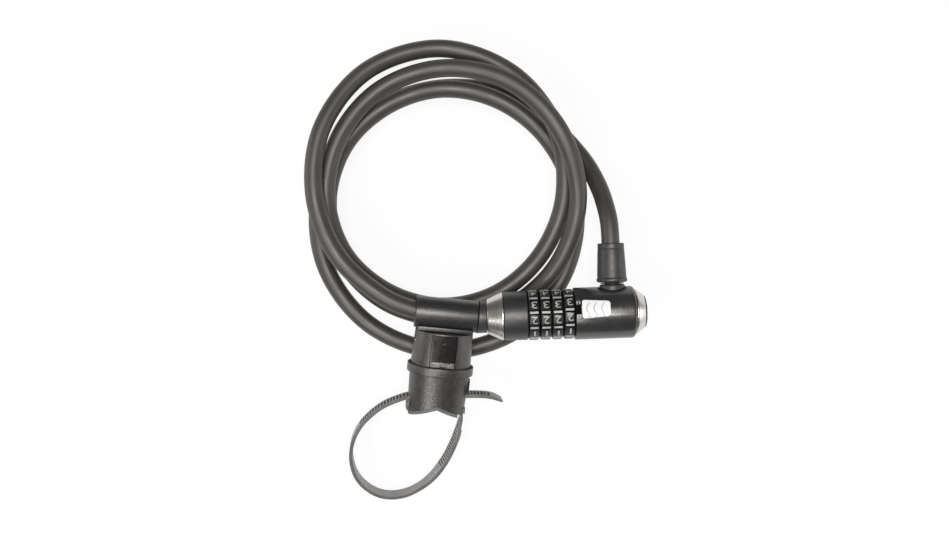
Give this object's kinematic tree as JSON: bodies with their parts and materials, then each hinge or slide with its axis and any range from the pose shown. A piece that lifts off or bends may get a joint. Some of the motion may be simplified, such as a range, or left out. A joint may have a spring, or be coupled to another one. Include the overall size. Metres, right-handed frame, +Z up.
{
  "type": "combination cable lock",
  "caption": "Coiled bicycle cable lock with a dial combination head, a plug-in bolt end and a swivelling frame bracket with a toothed strap.",
  "frame": {"origin": "bottom centre of the lock head and its bracket, on the surface that the coil lies on", "axes": "+Z up, +X along the lock head towards its end cap, +Y towards the coil"},
  "size_m": [0.189, 0.2587, 0.0419],
  "materials": {
    "cable_sleeve": "dark smoky vinyl with a soft sheen",
    "satin_housing": "satin black",
    "dial_black": "black",
    "brushed_metal": "brushed round its axis",
    "silver_button": "pale silver",
    "bracket_nylon": "fine-grained grey black",
    "tab_gloss": "polished",
    "strap_nylon": "grey nylon",
    "soft_rubber": "matte",
    "brass": "machined",
    "steel": "plain"
  },
  "bodies": {
    "lock_head": {"rear_housing": "satin_housing", "front_housing": "satin_housing", "cone_ring": "brushed_metal", "end_cap": "brushed_metal", "end_plug": "satin_housing", "lock_core": "steel", "wave_washer": "steel", "anchor_block": "steel", "anchor_screw": "steel", "cable_anchor": "steel", "neck_washer": "soft_rubber", "cable_boot": "satin_housing", "cable": "cable_sleeve", "button_spring": "steel"},
    "dial_ring_1": {"dial_1": "dial_black", "coding_ring_1": "brass"},
    "dial_ring_2": {"dial_2": "dial_black", "coding_ring_2": "brass"},
    "dial_ring_3": {"dial_3": "dial_black", "coding_ring_3": "brass"},
    "dial_ring_4": {"dial_4": "dial_black", "coding_ring_4": "brass"},
    "button": {"slide_button": "silver_button", "latch_plate": "steel"},
    "plug": {"plug_ferrule": "satin_housing", "plug_seal": "soft_rubber", "latch_bolt": "steel"},
    "clamp": {"clamp_sleeve": "bracket_nylon", "clamp_post": "bracket_nylon", "clamp_screw": "steel", "tab_pin": "steel", "tab_spring": "steel"},
    "tab": {"release_tab": "tab_gloss"},
    "socket": {"socket_body": "bracket_nylon", "saddle_pad": "soft_rubber", "strap": "strap_nylon", "pawl_pin": "steel"},
    "pawl": {"strap_pawl": "bracket_nylon"}
  },
  "joints": [
    {"name": "dial_1_turn", "type": "hinge", "parent": "lock_head", "child": "dial_ring_1", "pos_m": [0.0429, 0.03345, 0.0262], "axis": [0.9994, 0.0349, 0], "continuous": true},
    {"name": "dial_2_turn", "type": "hinge", "parent": "lock_head", "child": "dial_ring_2", "pos_m": [0.0429, 0.03345, 0.0262], "axis": [0.9994, 0.0349, 0], "continuous": true},
    {"name": "dial_3_turn", "type": "hinge", "parent": "lock_head", "child": "dial_ring_3", "pos_m": [0.0429, 0.03345, 0.0262], "axis": [0.9994, 0.0349, 0], "continuous": true},
    {"name": "dial_4_turn", "type": "hinge", "parent": "lock_head", "child": "dial_ring_4", "pos_m": [0.0429, 0.03345, 0.0262], "axis": [0.9994, 0.0349, 0], "continuous": true},
    {"name": "button_slide", "type": "slide", "parent": "lock_head", "child": "button", "axis": [-0.9994, -0.0349, 0], "range_m": [0, 0.0018], "stiffness_N_per_m": 500, "springref_m": -0.001, "deforming": ["button_spring"]},
    {"name": "plug_pull", "type": "slide", "parent": "lock_head", "child": "plug", "axis": [-0.9994, -0.0349, 0], "range_m": [0, 0.05], "deforming": ["cable"]},
    {"name": "clamp_swivel", "type": "hinge", "parent": "plug", "child": "clamp", "pos_m": [-0.00989, 0.03161, 0.0262], "axis": [-0.9894, 0.1005, 0.1045], "range_deg": [0, 95]},
    {"name": "tab_press", "type": "hinge", "parent": "clamp", "child": "tab", "pos_m": [-0.02864, 0.01793, 0.02836], "axis": [0.9894, -0.1005, -0.1045], "range_deg": [0, 8], "stiffness_Nm_per_rad": 0.05, "springref_deg": -11.46, "deforming": ["tab_spring"]},
    {"name": "socket_release", "type": "slide", "parent": "clamp", "child": "socket", "axis": [-0.1145, -0.9837, -0.1384], "range_m": [0, 0.028]},
    {"name": "pawl_lift", "type": "hinge", "parent": "socket", "child": "pawl", "pos_m": [-0.01775, -0.00582, 0.02125], "axis": [0.0889, -0.1489, 0.9848], "range_deg": [0, 10], "stiffness_Nm_per_rad": 0.01, "springref_deg": -11.46}
  ]
}
